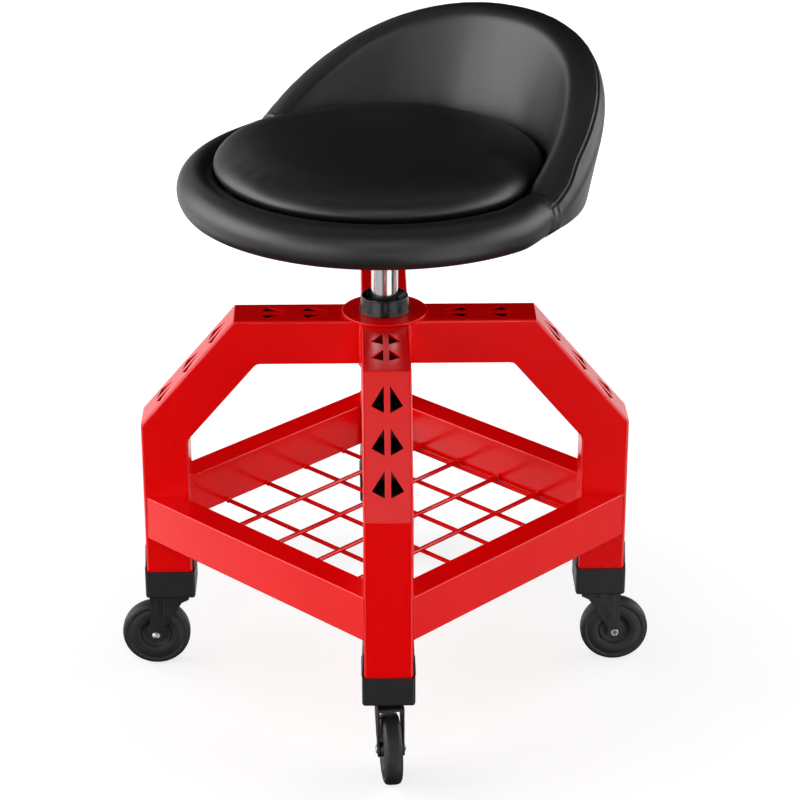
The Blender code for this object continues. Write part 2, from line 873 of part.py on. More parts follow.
def back_section(angle):
    rise = BACK_STEP + back_rise(angle)
    ease = smoothstep(rise / BACK_RISE * 3)
    top = SEAM_THICK + (BACK_TOP_THICK - SEAM_THICK) * ease
    foot = Vector((ROLL_RADIUS - 0.001, 0))
    return ring_section(foot, SEAM_THICK, BACK_FLOOR, rise, top, 2)


def seat_ring(section, angle):
    """A section stood up at an angle from the back's middle, positive towards -X."""
    ring = []
    for out, up in section:
        x = -out * math.sin(angle)
        y = out * math.cos(angle) - SEAT_FORWARD
        ring.append((x, y, ROLL_Z + up))
    return ring


def swept_angles(first, last, count):
    return [first + (last - first) * step / (count - 1) for step in range(count)]


def shell_section(angle, margin, bottom):
    """Cross-section of the stiff shell inside the back, grown by a margin."""
    top = back_rise(angle) - 0.003 + margin
    half = SHELL_THICK / 2 + margin
    centre = ROLL_RADIUS - 0.001
    low = bottom - ROLL_Z
    return [
        (centre + BACK_LEAN * low - half, low),
        (centre + BACK_LEAN * low + half, low),
        (centre + BACK_LEAN * top + half, top),
        (centre + BACK_LEAN * top - half, top),
    ]


def shell_mesh(name, margin, bottom):
    reach = SHELL_SPAN + margin / ROLL_RADIUS
    angles = swept_angles(-reach, reach, 25)
    rings = [seat_ring(shell_section(angle, margin, bottom), angle) for angle in angles]
    return skin_mesh(name, rings, True)


def build_seat_pads(seat):
    joint = GAP / 2 / ROLL_RADIUS
    rebate = add_cutter(
        "board_rebate",
        cylinder_mesh("board_rebate", BOARD_RADIUS + GAP, 0.03, 48),
        (0, -SEAT_FORWARD, BOARD_TOP + GAP - 0.015),
    )
    rebate.parent = seat
    slot = add_cutter("shell_slot", shell_mesh("shell_slot", GAP, BOARD_TOP - 0.008))
    slot.parent = seat

    start = SEAM_ANGLES["left"] + joint
    end = 2 * math.pi - SEAM_ANGLES["right"] - joint
    angles = swept_angles(start, end, 37)
    signed = [angle if angle <= math.pi else angle - 2 * math.pi for angle in angles]
    rings = [seat_ring(front_section(angle), angle) for angle in signed]
    bolster = add_part("seat_bolster", skin_mesh("seat_bolster", rings, True), LEATHER, seat)
    boolean(bolster, "DIFFERENCE", rebate)

    angles = swept_angles(joint - SEAM_ANGLES["right"], SEAM_ANGLES["left"] - joint, 33)
    rings = [seat_ring(back_section(angle), angle) for angle in angles]
    back = add_part("seat_backrest", skin_mesh("seat_backrest", rings, True), LEATHER, seat)
    boolean(back, "DIFFERENCE", rebate)
    boolean(back, "DIFFERENCE", slot)

    add_part("backrest_shell", shell_mesh("backrest_shell", 0, BOARD_TOP + GAP), PLYWOOD, seat)

    bottom = BOARD_TOP + GAP
    profile = [
        (0, CUSHION_TOP),
        (0.080, CUSHION_TOP - 0.0012),
        (0.125, CUSHION_TOP - 0.0042),
        (0.148, CUSHION_TOP - 0.0090),
        (0.160, CUSHION_TOP - 0.0150),
        (0.1650, CUSHION_TOP - 0.0210),
        (0.1658, 0.5855),
        (0.1640, 0.5790),
        (0.1605, 0.5725),
        (0.1580, 0.5655),
        (0.1570, bottom),
        (0, bottom),
    ]
    cushion = turned_mesh("seat_cushion", profile, False, 40)
    for vertex in cushion.vertices:
        front = smoothstep((abs(math.atan2(-vertex.co.x, vertex.co.y)) - 1.2) / 0.6)
        puff = smoothstep((vertex.co.z - 0.570) / 0.012) * smoothstep((vertex.co.xy.length - 0.06) / 0.1)
        vertex.co.xy *= 1 + CUSHION_SPREAD / 0.165 * front * puff
    add_part("seat_cushion", cushion, LEATHER, seat, (0, -SEAT_FORWARD, 0))


def build_seat_base(seat):
    holes = [
        circle(0.0033, 12, (x, y)) for x in (-SCREW_AT, SCREW_AT) for y in (-SCREW_AT, SCREW_AT)
    ]
    centred = [(x, y - SEAT_FORWARD) for x, y in circle(BOARD_RADIUS, 48)]
    board = outline_mesh("seat_board", [centred, *holes], BOARD_THICK)
    middle = BOARD_BOTTOM + BOARD_THICK / 2
    add_part("seat_board", board, PLYWOOD, seat, (0, 0, middle))

    hem = [(x, y - SEAT_FORWARD) for x, y in circle(BOARD_RADIUS - 0.003, 48)]
    cloth = outline_mesh("underside_cloth", [hem, *holes], CLOTH_THICK)
    add_part("underside_cloth", cloth, CLOTH, seat, (0, 0, CLOTH_TOP - CLOTH_THICK / 2))

    square = rounded_rectangle(PLATE_HALF, PLATE_HALF, 0.012, 3)
    plate = outline_mesh("seat_plate", [square, *holes], PLATE_THICK)
    add_part("seat_plate", plate, BLACK_STEEL, seat, (0, 0, PLATE_TOP - PLATE_THICK / 2))

    under = PLATE_TOP - PLATE_THICK - GAP
    shank = 0.0030
    screw_profile = [
        (0, BOARD_TOP - 0.001),
        (shank - 0.001, BOARD_TOP - 0.001),
        (shank, BOARD_TOP - 0.002),
        (shank, under),
        (0.0060, under),
        (0.0042, under - 0.0032),
        (0.0020, under - 0.0034),
        (0.0020, under - 0.0014),
        (0, under - 0.0014),
    ]
    mesh = turned_mesh("seat_screw", screw_profile, closed=False, steps=12)
    spots = [(x, y) for y in (-SCREW_AT, SCREW_AT) for x in (-SCREW_AT, SCREW_AT)]
    for number, (x, y) in enumerate(spots, 1):
        add_part(f"seat_screw_{number}", mesh, ZINC, seat, (x, y, 0))


def build_mechanism(seat):
    wide, wall = CHANNEL_HALF_WIDE, CHANNEL_WALL
    channel = [
        (-wide, CHANNEL_TOP),
        (-wide, CHANNEL_BOTTOM),
        (wide, CHANNEL_BOTTOM),
        (wide, CHANNEL_TOP),
        (wide - wall, CHANNEL_TOP),
        (wide - wall, CHANNEL_BOTTOM + wall),
        (wall - wide, CHANNEL_BOTTOM + wall),
        (wall - wide, CHANNEL_TOP),
    ]
    mesh = outline_mesh("lift_socket", [channel], 2 * CHANNEL_HALF_LONG)
    mesh.transform(Matrix(((0, 0, 1, 0), (1, 0, 0, 0), (0, 1, 0, 0), (0, 0, 0, 1))))
    socket = add_part("lift_socket", mesh, BLACK_STEEL, seat)
    length = CHANNEL_BOTTOM + wall / 2 - SOCKET_TUBE_BOTTOM
    collar = add_cutter(
        "socket_tube",
        cylinder_mesh("socket_tube", SOCKET_TUBE_RADIUS, length, 32),
        (0, 0, SOCKET_TUBE_BOTTOM + length / 2),
    )
    bore = add_cutter(
        "socket_bore",
        cylinder_mesh("socket_bore", CHROME_RADIUS + GAP, 0.06, 32),
        (0, 0, SOCKET_TUBE_BOTTOM + 0.02),
    )
    pin_room = add_cutter(
        "pin_room",
        cylinder_mesh("pin_room", PIVOT_RADIUS + GAP, 0.1, 20),
        (LEVER_PIVOT_X, 0, LEVER_Z),
        (math.pi / 2, 0, 0),
    )
    for operation, cutter in (
        ("UNION", collar),
        ("DIFFERENCE", bore),
        ("DIFFERENCE", pin_room),
    ):
        cutter.parent = seat
        boolean(socket, operation, cutter)

    half = CHANNEL_HALF_WIDE + 0.0015
    pin = [
        (0, half + 0.0015),
        (0.0042, half + 0.0015),
        (0.0050, half + 0.0005),
        (0.0050, half - 0.0012),
        (PIVOT_RADIUS, half - 0.0012),
        (PIVOT_RADIUS, -half - 0.0020),
        (0, -half - 0.0020),
    ]
    part = add_turned("lever_pivot_pin", pin, ZINC, False, 20, seat, (LEVER_PIVOT_X, 0, LEVER_Z))
    part.rotation_euler = (math.pi / 2, 0, 0)


def lever_route():
    """The lever rod from over the button to its grip, measured from the pivot."""
    drop = -0.015
    return [
        (0.0435, 0),
        (-0.018, 0),
        (-0.026, -0.002),
        (-0.040, drop + 0.002),
        (-0.048, drop),
        (-0.156, drop - 0.003),
    ]


def build_lever(seat):
    pivot = add_empty("lever_pivot", (LEVER_PIVOT_X, 0, LEVER_Z), parent=seat)
    curve = bpy.data.curves.new("lever_rod", "CURVE")
    curve.dimensions = "3D"
    curve.bevel_depth = LEVER_RADIUS
    curve.bevel_resolution = 3
    curve.use_fill_caps = True
    spline = curve.splines.new("POLY")
    route = lever_route()
    spline.points.add(len(route) - 1)
    for point, (x, z) in zip(spline.points, route):
        point.co = (x, 0, z, 1)
    guide = bpy.data.objects.new("lever_rod", curve)
    parts.objects.link(guide)
    mesh = finished_mesh("lever_arm", guide)
    shape = bmesh.new()
    shape.from_mesh(mesh)
    bmesh.ops.remove_doubles(shape, verts=shape.verts, dist=0.00001)
    shape.to_mesh(mesh)
    shape.free()
    lever = add_part("lever_arm", mesh, BLACK_STEEL, pivot)
    lying = (math.pi / 2, 0, 0)
    barrel = add_cutter("lever_barrel", cylinder_mesh("lever_barrel", 0.0070, 0.020, 24))
    barrel.rotation_euler = lying
    eye = add_cutter("lever_eye", cylinder_mesh("lever_eye", PIVOT_RADIUS + GAP, 0.03, 20))
    eye.rotation_euler = lying
    for cutter in (barrel, eye):
        cutter.parent = pivot
    boolean(lever, "UNION", barrel)
    boolean(lever, "DIFFERENCE", eye)

    end = Vector(route[-1])
    run = (end - Vector(route[-2])).normalized()
    slope = math.atan2(run.y, -run.x)
    inner = 0.046
    block = box_mesh("lever_grip", (-0.006, -0.011, -0.0062), (inner, 0.011, 0.0062))
    grip = add_part("lever_grip", block, BLACK_PLASTIC, pivot, (end.x, 0, end.y), (0, slope, 0))
    bevel(grip, 0.004, 3)
    bore_length = inner + 0.02
    bore = add_cutter(
        "grip_bore",
        cylinder_mesh("grip_bore", LEVER_RADIUS + GAP, bore_length, 24),
        (end.x, 0, end.y),
        (0, slope, 0),
    )
    lying = Matrix.Translation((bore_length / 2 - 0.0006, 0, 0)) @ Matrix.Rotation(math.pi / 2, 4, "Y")
    bore.data.transform(lying)
    bore.parent = pivot
    boolean(grip, "DIFFERENCE", bore)


def build_seat():
    seat = add_empty("seat_axis", (0, 0, 0), SEAT_YAW)
    build_pressure_tube(seat)
    build_seat_base(seat)
    build_mechanism(seat)
    build_lever(seat)
    build_seat_pads(seat)


clear_scene()
parts = new_collection("rolling_workshop_seat")
cutters = new_collection("cutters")
build_legs()
build_hub()
build_tray()
build_casters()
build_gas_spring()
build_seat()
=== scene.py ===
"""Looks of the rolling workshop seat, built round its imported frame."""

import json
import math

import bmesh
import bpy
import numpy as np
from mathutils import Matrix, Vector, kdtree, noise
from mathutils.bvhtree import BVHTree


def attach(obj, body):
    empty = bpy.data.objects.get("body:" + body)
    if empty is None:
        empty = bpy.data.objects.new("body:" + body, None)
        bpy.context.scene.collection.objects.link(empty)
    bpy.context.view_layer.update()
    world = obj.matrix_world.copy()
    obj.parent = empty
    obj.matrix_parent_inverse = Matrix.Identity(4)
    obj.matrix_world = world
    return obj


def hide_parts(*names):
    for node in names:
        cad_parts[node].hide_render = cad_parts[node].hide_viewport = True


# Seat, in its own axes: cushion centre on the origin, back towards +Y
SEAT_YAW = math.radians(4)
SEAT_FORWARD = 0.003
ROLL_RADIUS = 0.1865
ROLL_Z = 0.563
ROLL_THICK = 0.0234
ROLL_SHIFT = 0.0029  # the front roll's middle, outwards and down from the back's foot
BACK_THICK = 0.0228
BACK_TOP_THICK = 0.0208
SEAM_ANGLES = {"left": math.radians(80), "right": math.radians(85)}  # seen from the front
SEAM_EASE = math.radians(14)
RISE_ENDS = {"left": math.radians(81), "right": math.radians(83)}
EDGE_SEAM = math.radians(66)  # round the rim, up from its outermost line
EDGE_SEAM_END = math.radians(36)
BACK_RISE = 0.1185
BACK_LEAN = 0.27
BACK_FLATNESS = 2.15
BACK_FALL = 1.14
BOARD_RADIUS = 0.1908
BOARD_TOP = 0.0072  # below the roll's centre
ROLL_FLOOR = -0.0195
CUSHION_SPREAD = 0.009  # over the roll, in front
SEAM_SECOND = math.radians(2.3)  # from the cross seam to the binding's other edge

# Frame and casters
CORNERS = ("front_left", "back_left", "back_right", "front_right")
RAIL_ANGLES = {"front": 0, "left": 90, "back": 180, "right": -90}
TUBE = 0.050
ARM_TOP = 0.4177
RAIL_BOTTOM = 0.164
RAIL_TOP = 0.214
TRAY_HALF = 0.200
RAIL_WIDE = 0.030
HUB_TOP = 0.4205
WIRE_PITCH = 0.0605
# First wire, height of the layer's middle, and whether its wires run along X
WIRE_LAYERS = ((-0.1380, 0.1665, True), (-0.1070, 0.1710, False))
WHEEL_WIDE = 0.018

# Welds: steps along a bead, length of its ripples, radii
WELD_STEP = 0.0011
WELD_RIPPLE = 0.0034
RAIL_WELD = 0.0013
ARM_WELD = 0.0022
SLEEVE_WELD = 0.0017
WIRE_WELD = 0.0031

CLOTH_FRAMES = 20  # of each cushion's simulation

# Camera and lights. RIGHT and AWAY are level directions, roughly as the camera sees them
RIGHT = Vector((math.sqrt(0.5), math.sqrt(0.5), 0))
AWAY = Vector((-math.sqrt(0.5), math.sqrt(0.5), 0))
VIEW_TARGET = Vector((0.0114, 0.0114, 0.3154))
VIEW_AZIMUTH = math.radians(43.95)
VIEW_ELEVATION = math.radians(23.87)
VIEW_DISTANCE = 2.812
LENS = 118.1
LIGHT_MIDDLE = Vector((0, 0, 0.35))
LIGHT_DISTANCE = 3.2


# ---------------------------------------------------------------- materials


class Finish:
    """A Principled material and short calls for the nodes that drive it. Places are in metres."""

    def __init__(self, name, colour, roughness, metallic=0.0, **sockets):
        self.material = bpy.data.materials.new(name)
        self.material.use_nodes = True
        self.tree = self.material.node_tree
        self.shader = self.tree.nodes["Principled BSDF"]
        self.place = self.tree.nodes.new("ShaderNodeTexCoord").outputs["Object"]
        self.normal = None
        self.set("Base Color", (*colour, 1))
        self.set("Roughness", roughness)
        self.set("Metallic", metallic)
        for socket, value in sockets.items():
            self.set(socket.replace("_", " "), value)

    def set(self, socket, value):
        self.shader.inputs[socket].default_value = value

    def drive(self, socket, output):
        self.tree.links.new(output, self.shader.inputs[socket])

    def within(self, attribute, colour):
        """Blends the colour to another one where a face attribute of the mesh says so."""
        share = self.tree.nodes.new("ShaderNodeAttribute")
        share.attribute_name = attribute
        mix = self.tree.nodes.new("ShaderNodeMix")
        mix.data_type = "RGBA"
        self.tree.links.new(share.outputs["Fac"], mix.inputs["Factor"])
        # The colour sockets share their names with those of the node's other data types
        first, second, result = mix.inputs[6], mix.inputs[7], mix.outputs[2]
        self.tree.links.new(self.shader.inputs["Base Color"].links[0].from_socket, first)
        second.default_value = (*colour, 1)
        self.drive("Base Color", result)

    def stretch(self, scale):
        node = self.tree.nodes.new("ShaderNodeMapping")
        node.inputs["Scale"].default_value = scale
        self.tree.links.new(self.place, node.inputs["Vector"])
        return node.outputs["Vector"]

    def noise(self, scale, detail=3.0, roughness=0.5, place=None):
        node = self.tree.nodes.new("ShaderNodeTexNoise")
        node.inputs["Scale"].default_value = scale
        node.inputs["Detail"].default_value = detail
        node.inputs["Roughness"].default_value = roughness
        self.tree.links.new(place or self.place, node.inputs["Vector"])
        return node.outputs["Fac"]

    def cells(self, scale, feature="F1"):
        node = self.tree.nodes.new("ShaderNodeTexVoronoi")
        node.feature = feature
        node.inputs["Scale"].default_value = scale
        self.tree.links.new(self.place, node.inputs["Vector"])
        return node.outputs["Distance"]

    def waves(self, scale, distortion, place):
        node = self.tree.nodes.new("ShaderNodeTexWave")
        node.inputs["Scale"].default_value = scale
        node.inputs["Distortion"].default_value = distortion
        self.tree.links.new(place, node.inputs["Vector"])
        return node.outputs["Fac"]

    def span(self, value, low, high, to_low, to_high):
        node = self.tree.nodes.new("ShaderNodeMapRange")
        node.inputs["From Min"].default_value = low
        node.inputs["From Max"].default_value = high
        node.inputs["To Min"].default_value = to_low
        node.inputs["To Max"].default_value = to_high
        self.tree.links.new(value, node.inputs["Value"])
        return node.outputs["Result"]

    def colours(self, value, stops):
        node = self.tree.nodes.new("ShaderNodeValToRGB")
        ramp = node.color_ramp
        while len(ramp.elements) < len(stops):
            ramp.elements.new(0.5)
        for element, (at, colour) in zip(ramp.elements, stops):
            element.position = at
            element.color = (*colour, 1)
        self.tree.links.new(value, node.inputs["Fac"])
        self.drive("Base Color", node.outputs["Color"])

    def bump(self, height, depth, strength):
        node = self.tree.nodes.new("ShaderNodeBump")
        node.inputs["Strength"].default_value = strength
        node.inputs["Distance"].default_value = depth
        self.tree.links.new(height, node.inputs["Height"])
        if self.normal:
            self.tree.links.new(self.normal, node.inputs["Normal"])
        self.normal = node.outputs["Normal"]
        self.drive("Normal", self.normal)


def red_paint():
    """Gloss powder coat with slight orange peel; tubes are bare inside, painted near black as shade."""
    finish = Finish("red_gloss_paint", (0.92, 0.001, 0.002), 0.16, Specular_IOR_Level=0.5)
    tone = finish.noise(9.0, 2.0)
    finish.colours(tone, [(0.3, (0.90, 0.0005, 0.0010)), (0.7, (0.95, 0.0008, 0.0014))])
    # Inside the tubes the colour turns near black: partly bare steel, partly painted shade in the tube.
    finish.within("bare", (0.010, 0.007, 0.007))
    finish.drive("Roughness", finish.span(finish.noise(160.0, 3.0), 0.3, 0.7, 0.17, 0.25))
    finish.bump(finish.noise(420.0, 1.5), 0.00006, 0.6)
    return finish.material


def moulded_plastic(name, colour, roughness, grain):
    finish = Finish(name, colour, roughness, Specular_IOR_Level=0.5)
    deeper = tuple(part * 0.75 for part in colour)
    lighter = tuple(part * 1.3 for part in colour)
    finish.colours(finish.noise(60.0, 4.0), [(0.3, deeper), (0.7, lighter)])
    low, high = roughness - 0.06, roughness + 0.08
    finish.drive("Roughness", finish.span(finish.noise(300.0, 3.0), 0.3, 0.7, low, high))
    finish.bump(finish.cells(1400.0), grain, 0.5)
    return finish.material


def coated_steel():
    finish = Finish("black_coated_steel", (0.012, 0.012, 0.013), 0.34, Specular_IOR_Level=0.6)
    tone = finish.noise(45.0, 4.0)
    finish.colours(tone, [(0.3, (0.009, 0.009, 0.010)), (0.75, (0.018, 0.018, 0.019))])
    finish.drive("Roughness", finish.span(finish.noise(220.0, 4.0), 0.3, 0.7, 0.26, 0.44))
    finish.bump(finish.noise(900.0, 2.0), 0.00005, 0.6)
    return finish.material


def chrome():
    finish = Finish("polished_chrome", (0.78, 0.79, 0.81), 0.06, 1.0)
    finish.colours(finish.noise(14.0, 2.0), [(0.3, (0.74, 0.75, 0.77)), (0.7, (0.84, 0.85, 0.87))])
    smear = finish.noise(90.0, 5.0, 0.6, finish.stretch((1, 1, 0.2)))
    finish.drive("Roughness", finish.span(smear, 0.35, 0.75, 0.17, 0.25))
    return finish.material


def zinc():
    finish = Finish("zinc_plate", (0.55, 0.56, 0.57), 0.32, 1.0)
    finish.colours(finish.cells(380.0), [(0.0, (0.42, 0.43, 0.45)), (0.9, (0.68, 0.69, 0.70))])
    finish.drive("Roughness", finish.span(finish.noise(260.0, 4.0), 0.3, 0.7, 0.24, 0.42))
    finish.bump(finish.noise(700.0, 2.0), 0.00004, 0.5)
    return finish.material


def leather():
    """Black coated leather: pebbled grain over soft creases, duller in the valleys."""
    finish = Finish("black_leather", (0.0065, 0.0065, 0.0068), 0.3, Specular_IOR_Level=0.78)
    pebbles = finish.cells(780.0, "SMOOTH_F1")
    creases = finish.noise(150.0, 4.0, 0.55)
    finish.colours(creases, [(0.3, (0.0050, 0.0050, 0.0053)), (0.7, (0.0080, 0.0080, 0.0083))])
    finish.drive("Roughness", finish.span(pebbles, 0.1, 0.75, 0.37, 0.47))
    finish.bump(creases, 0.00016, 0.4)
    finish.bump(pebbles, 0.00011, 0.45)
    finish.bump(finish.noise(2600.0, 2.0), 0.00003, 0.4)
    return finish.material


def rubber_wheel():
    finish = Finish("wheel_black", (0.013, 0.013, 0.013), 0.46, Specular_IOR_Level=0.45)
    tone = finish.noise(70.0, 5.0)
    finish.colours(tone, [(0.3, (0.010, 0.010, 0.010)), (0.72, (0.019, 0.019, 0.019))])
    finish.drive("Roughness", finish.span(finish.noise(240.0, 4.0), 0.3, 0.7, 0.38, 0.56))
    finish.bump(finish.noise(1500.0, 3.0), 0.00006, 0.6)
    return finish.material


def plywood():
    finish = Finish("plywood", (0.45, 0.30, 0.16), 0.62)
    grain = finish.waves(90.0, 5.0, finish.stretch((0.15, 1, 6)))
    finish.colours(grain, [(0.1, (0.33, 0.21, 0.10)), (0.9, (0.52, 0.37, 0.21))])
    finish.bump(finish.noise(500.0, 4.0, 0.6, finish.stretch((0.1, 1, 1))), 0.0002, 0.5)
    return finish.material


def lining_cloth():
    """Non-woven lining: pressed dots over loose fibres."""
    finish = Finish("lining_cloth", (0.014, 0.014, 0.015), 0.92, Specular_IOR_Level=0.2)
    finish.set("Sheen Weight", 0.2)
    dots = finish.cells(520.0)
    finish.colours(dots, [(0.0, (0.008, 0.008, 0.008)), (0.6, (0.022, 0.022, 0.023))])
    finish.bump(dots, 0.0003, 0.7)
    finish.bump(finish.noise(1800.0, 4.0), 0.0001, 0.6)
    return finish.material


def floor_paint():
    """White paint that glows more away from the object, so that only the shadows near it show."""
    finish = Finish("studio_floor", (0.45, 0.47, 0.47), 0.8, Specular_IOR_Level=0.1)
    finish.set("Emission Color", (1, 1, 1, 1))
    distance = finish.tree.nodes.new("ShaderNodeVectorMath")
    distance.operation = "LENGTH"
    finish.tree.links.new(finish.place, distance.inputs[0])
    finish.drive("Emission Strength", finish.span(distance.outputs["Value"], 0.3, 1.4, 0.70, 1.02))
    return finish.material


# ---------------------------------------------------------------- mesh helpers


def new_object(name, mesh, body, material):
    """A piece in the row frame that rides on a body."""
    piece = bpy.data.objects.new(name, mesh)
    bpy.context.scene.collection.objects.link(piece)
    mesh.materials.clear()
    mesh.materials.append(material)
    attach(piece, body)
    return piece


def mesh_of(name, shape):
    mesh = bpy.data.meshes.new(name)
    bmesh.ops.recalc_face_normals(shape, faces=shape.faces)
    shape.to_mesh(mesh)
    shape.free()
    return mesh


def grid_mesh(name, rows, wrap_rows=False, wrap_points=True, cap=False):
    """A quad skin over rows of points with the same number of points each."""
    count, width = len(rows), len(rows[0])
    points = np.asarray(rows, float).reshape(-1, 3)
    faces = []
    for row in range(count if wrap_rows else count - 1):
        for point in range(width if wrap_points else width - 1):
            after, beside = (row + 1) % count, (point + 1) % width
            low, high = row * width, after * width
            faces.append((low + point, low + beside, high + beside, high + point))
    if cap:
        faces.append(tuple(range(width)))
        faces.append(tuple((count - 1) * width + point for point in reversed(range(width))))
    mesh = bpy.data.meshes.new(name)
    mesh.from_pydata([tuple(point) for point in points], [], faces)
    shape = bmesh.new()
    shape.from_mesh(mesh)
    bmesh.ops.recalc_face_normals(shape, faces=shape.faces)
    shape.to_mesh(mesh)
    shape.free()
    return mesh


def merge_points(mesh, place=None):
    """Joins points that lie on each other, such as those on an axis. Faces look outwards."""
    shape = bmesh.new()
    shape.from_mesh(mesh)
    bmesh.ops.remove_doubles(shape, verts=shape.verts, dist=0.0000005)
    bmesh.ops.recalc_face_normals(shape, faces=shape.faces)
    if place:
        shape.transform(place)
    shape.to_mesh(mesh)
    shape.free()


def turned_mesh(name, profile, steps, place=None, closed=True):
    """A profile of (radius, z) turned about Z. An open profile starts and ends on the axis."""
    turns = [2 * math.pi * step / steps for step in range(steps)]
    rows = [[(r * math.cos(a), r * math.sin(a), z) for r, z in profile] for a in turns]
    mesh = grid_mesh(name, rows, wrap_rows=True, wrap_points=closed)
    merge_points(mesh, place)
    return mesh


def apply_modifiers(piece):
    """Puts the mesh that the piece's modifiers make in its place."""
    bpy.context.view_layer.update()
    solved = piece.evaluated_get(bpy.context.evaluated_depsgraph_get())
    mesh = bpy.data.meshes.new_from_object(solved)
    piece.modifiers.clear()
    old = piece.data
    piece.data = mesh
    bpy.data.meshes.remove(old)
    return mesh


def follow_flats(mesh):
    """Smooth shading whose normals follow the largest faces at each vertex, so flats stay flat."""
    mesh.shade_smooth()
    normals = np.empty(len(mesh.polygons) * 3)
    areas = np.empty(len(mesh.polygons))
    sizes = np.empty(len(mesh.polygons), int)
    corners = np.empty(len(mesh.loops), int)
    mesh.polygons.foreach_get("normal", normals)
    mesh.polygons.foreach_get("area", areas)
    mesh.polygons.foreach_get("loop_total", sizes)
    mesh.loops.foreach_get("vertex_index", corners)
    normals = normals.reshape(-1, 3)
    faces = np.repeat(np.arange(len(sizes)), sizes)
    rising = np.argsort(areas[faces], kind="stable")
    largest = np.zeros(len(mesh.vertices), int)
    largest[corners[rising]] = faces[rising]
    facing = np.einsum("ij,ij->i", normals[faces], normals[largest[corners]])
    share = areas[faces] / np.maximum(areas[largest[corners]], 1e-20)
    weights = np.where(facing > math.cos(math.radians(40)), share**4, 0)
    total = np.zeros((len(mesh.vertices), 3))
    np.add.at(total, corners, normals[faces] * weights[:, None])
    total /= np.maximum(np.linalg.norm(total, axis=1), 1e-20)[:, None]
    mesh.normals_split_custom_set_from_vertices(total.tolist())


def soften(piece, width):
    """Rounded edges that catch light, with flat faces kept flat."""
    bevel = piece.modifiers.new("edges", "BEVEL")
    bevel.width = width
    bevel.segments = 3
    bevel.limit_method = "ANGLE"
    bevel.angle_limit = math.radians(32)
    bevel.miter_outer = "MITER_ARC"
    bevel.use_clamp_overlap = False
    follow_flats(apply_modifiers(piece))


def refined(node, body, material, width):
    """A CAD node's own shape with rounded edges."""
    shape = bmesh.new()
    shape.from_mesh(frame["nodes"][node].data)
    bmesh.ops.remove_doubles(shape, verts=shape.verts, dist=0.000002)
    flat = [edge for edge in shape.edges if edge.is_manifold and edge.calc_face_angle() < 0.001]
    bmesh.ops.beautify_fill(shape, faces=shape.faces, edges=flat)
    mesh = mesh_of(f"{node}_detailed", shape)
    piece = new_object(f"{node}_detailed", mesh, body, material)
    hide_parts(node)
    soften(piece, width)
    return piece


def ring_profile(inner, outer, bottom, top):
    return [(inner, bottom), (outer, bottom), (outer, top), (inner, top)]


def add_turned(node, profile, steps, body, material, width):
    """A CAD node's shape turned again with more steps and rounded edges."""
    mesh = turned_mesh(f"{node}_detailed", profile, steps)
    piece = new_object(f"{node}_detailed", mesh, body, material)
    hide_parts(node)
    soften(piece, width)


def mark_bare_shaded_inside(piece, least=0.035, most=0.070):
    """Marks the faces that look at their own tube's opposite wall: bare steel, painted near black as shade."""
    mesh = piece.data
    tree = BVHTree.FromPolygons([v.co for v in mesh.vertices], [p.vertices for p in mesh.polygons])
    # This attribute carries the tubes' inside colour: bare steel with painted shade.
    marks = mesh.attributes.new("bare", "FLOAT", "FACE")
    for face in mesh.polygons:
        reach = tree.ray_cast(face.center + face.normal * 0.0001, face.normal, most)[3]
        marks.data[face.index].value = float(reach is not None and reach > least)


def smoothstep(share):
    share = min(1.0, max(0.0, share))
    return share * share * (3 - 2 * share)


# ---------------------------------------------------------------- frame


def weld_bead(name, path, radius, seed, out=None):
    """A run of overlapping weld puddles along a path."""
    path = [Vector(point) for point in path]
    lengths = [0.0]
    for here, after in zip(path, path[1:]):
        lengths.append(lengths[-1] + (after - here).length)
    steps = max(6, round(lengths[-1] / WELD_STEP))
    rows = []
    for step in range(steps + 1):
        along = lengths[-1] * step / steps
        run = next(n for n in range(1, len(path)) if along <= lengths[n] + 1e-9)
        start, end = path[run - 1], path[run]
        ahead = (end - start).normalized()
        middle = start + ahead * (along - lengths[run - 1])
        side = ahead.cross(out or Vector((0, 0, 1)))
        if side.length < 0.1:
            side = ahead.orthogonal()
        side.normalize()
        up = side.cross(ahead)
        ripple = 1 + 0.13 * math.cos(2 * math.pi * along / WELD_RIPPLE + seed)
        ripple += 0.12 * noise.noise(Vector((along * 300, seed * 7.1, 0)))
        ends = min(1.0, 0.25 + 4 * min(step, steps - step) / steps)
        width = radius * ripple * ends
        rows.append(
            [
                middle + (side * math.cos(turn) + up * math.sin(turn)) * width
                for turn in (2 * math.pi * n / 10 for n in range(10))
            ]
        )
    return grid_mesh(name, rows, cap=True)


def joined_piece(name, meshes, body, material):
    shape = bmesh.new()
    for mesh in meshes:
        shape.from_mesh(mesh)
        bpy.data.meshes.remove(mesh)
    piece = new_object(name, mesh_of(name, shape), body, material)
    piece.data.shade_smooth()


def rail_welds():
    """Beads where each rail meets the legs' side faces, outside, on top and inside."""
    beads = []
    seed = 0
    for degrees in RAIL_ANGLES.values():
        turn = Matrix.Rotation(math.radians(degrees), 4, "Z")
        reach = math.sqrt(2) * TUBE / 2
        for side in (-1, 1):
            outer, inner = TRAY_HALF, TRAY_HALF - RAIL_WIDE
            low, high = RAIL_BOTTOM + 0.001, RAIL_TOP - 0.001
            path = [
                (side * (outer - reach), -outer, low),
                (side * (outer - reach), -outer, high),
                (side * (inner - reach), -inner, high),
                (side * (inner - reach), -inner, low),
            ]
            outwards = turn @ Vector((side, -1, 0)).normalized()
            corners = [turn @ Vector(point) for point in path]
            beads.append(weld_bead(f"rail_bead_{seed}", corners, RAIL_WELD, seed, outwards))
            seed += 1
    joined_piece("tray_welds", beads, "base", paint)


